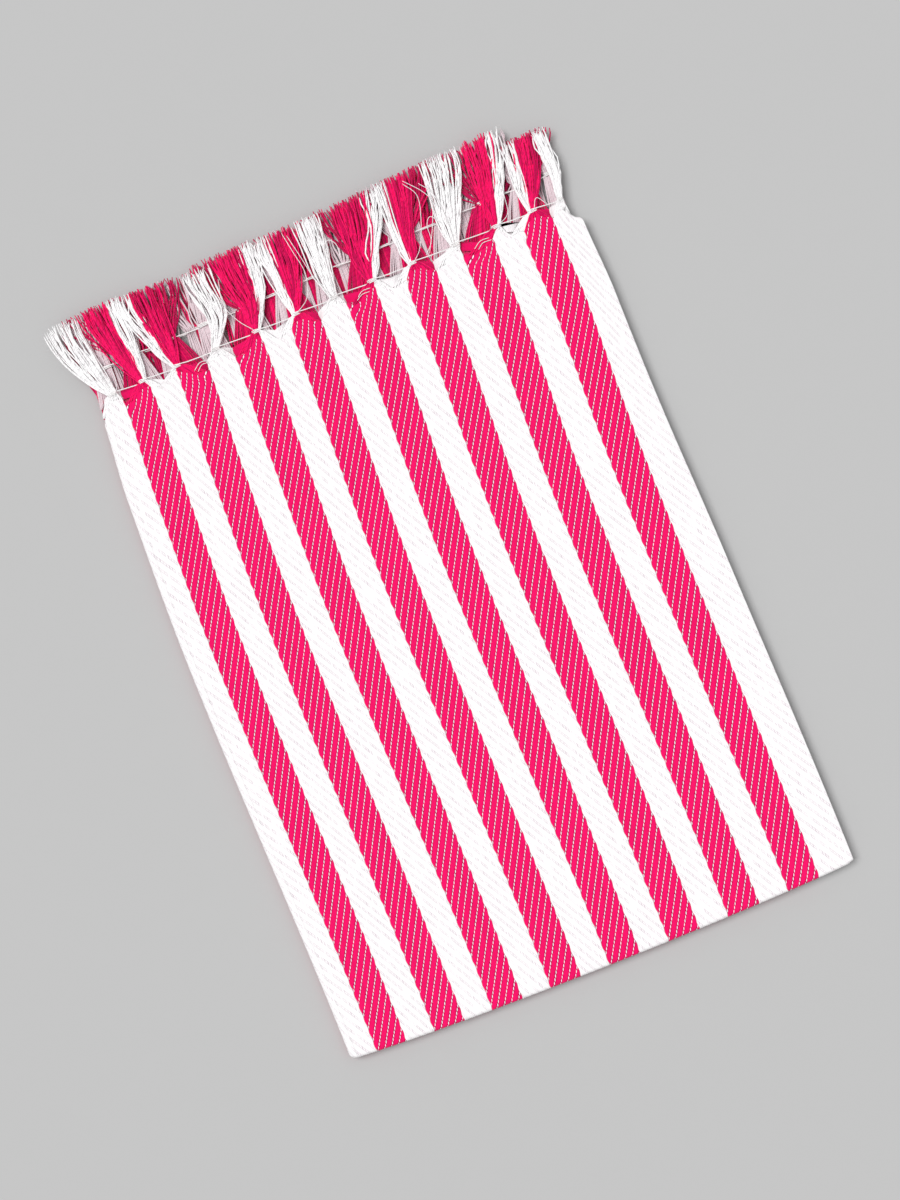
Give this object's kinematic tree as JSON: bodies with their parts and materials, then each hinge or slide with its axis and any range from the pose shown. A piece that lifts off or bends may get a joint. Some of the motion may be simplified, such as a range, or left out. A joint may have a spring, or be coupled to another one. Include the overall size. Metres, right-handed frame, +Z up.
{
  "type": "bath mat",
  "caption": "Woven cotton bath mat with lengthwise stripes and knotted end fringes, folded in four, with a lengthwise fold that opens.",
  "frame": {"origin": "bottom centre of the folded mat, on the surface it lies on", "axes": "+X across the stripes, away from the lengthwise fold; +Y along the stripes, towards the fringes; +Z up"},
  "size_m": [0.3072, 0.457, 0.009],
  "materials": {
    "cotton_pink": "matte cotton",
    "cotton_white": "matte cotton",
    "tie_thread": "matte cotton thread"
  },
  "bodies": {
    "lower_half": {"pink_l1": "cotton_pink", "white_l1": "cotton_white", "pink_l2": "cotton_pink", "white_l2": "cotton_white", "pink_l3": "cotton_pink", "white_l3": "cotton_white", "pink_l4": "cotton_pink", "white_l4": "cotton_white", "pink_l5": "cotton_pink", "white_l5": "cotton_white", "pink_l6": "cotton_pink", "white_l6": "cotton_white", "pink_l7": "cotton_pink", "white_l7": "cotton_white", "pink_l8": "cotton_pink", "selvedge_l": "cotton_white", "tie_thread_la": "tie_thread", "tie_thread_lb": "tie_thread", "tassels_la": "cotton_pink", "tassels_lb": "cotton_white"},
    "upper_half": {"white_r0": "cotton_white", "pink_r1": "cotton_pink", "white_r1": "cotton_white", "pink_r2": "cotton_pink", "white_r2": "cotton_white", "pink_r3": "cotton_pink", "white_r3": "cotton_white", "pink_r4": "cotton_pink", "white_r4": "cotton_white", "pink_r5": "cotton_pink", "white_r5": "cotton_white", "pink_r6": "cotton_pink", "white_r6": "cotton_white", "pink_r7": "cotton_pink", "white_r7": "cotton_white", "pink_r8": "cotton_pink", "selvedge_r": "cotton_white", "tie_thread_ra": "tie_thread", "tie_thread_rb": "tie_thread", "tassel_ra_01": "cotton_white", "tassel_ra_02": "cotton_pink", "tassel_ra_03": "cotton_pink", "tassel_ra_04": "cotton_white", "tassel_ra_05": "cotton_pink", "tassel_ra_06": "cotton_pink", "tassel_ra_07": "cotton_white", "tassel_ra_08": "cotton_pink", "tassel_ra_09": "cotton_pink", "tassel_ra_10": "cotton_white", "tassel_ra_11": "cotton_pink", "tassel_ra_12": "cotton_pink", "tassel_ra_13": "cotton_white", "tassels_rb": "cotton_pink"}
  },
  "joints": [
    {"name": "lengthwise_fold", "type": "hinge", "parent": "lower_half", "child": "upper_half", "pos_m": [-0.15452, 0, 0.0045], "axis": [0, -1, 0], "range_deg": [0, 180]}
  ]
}
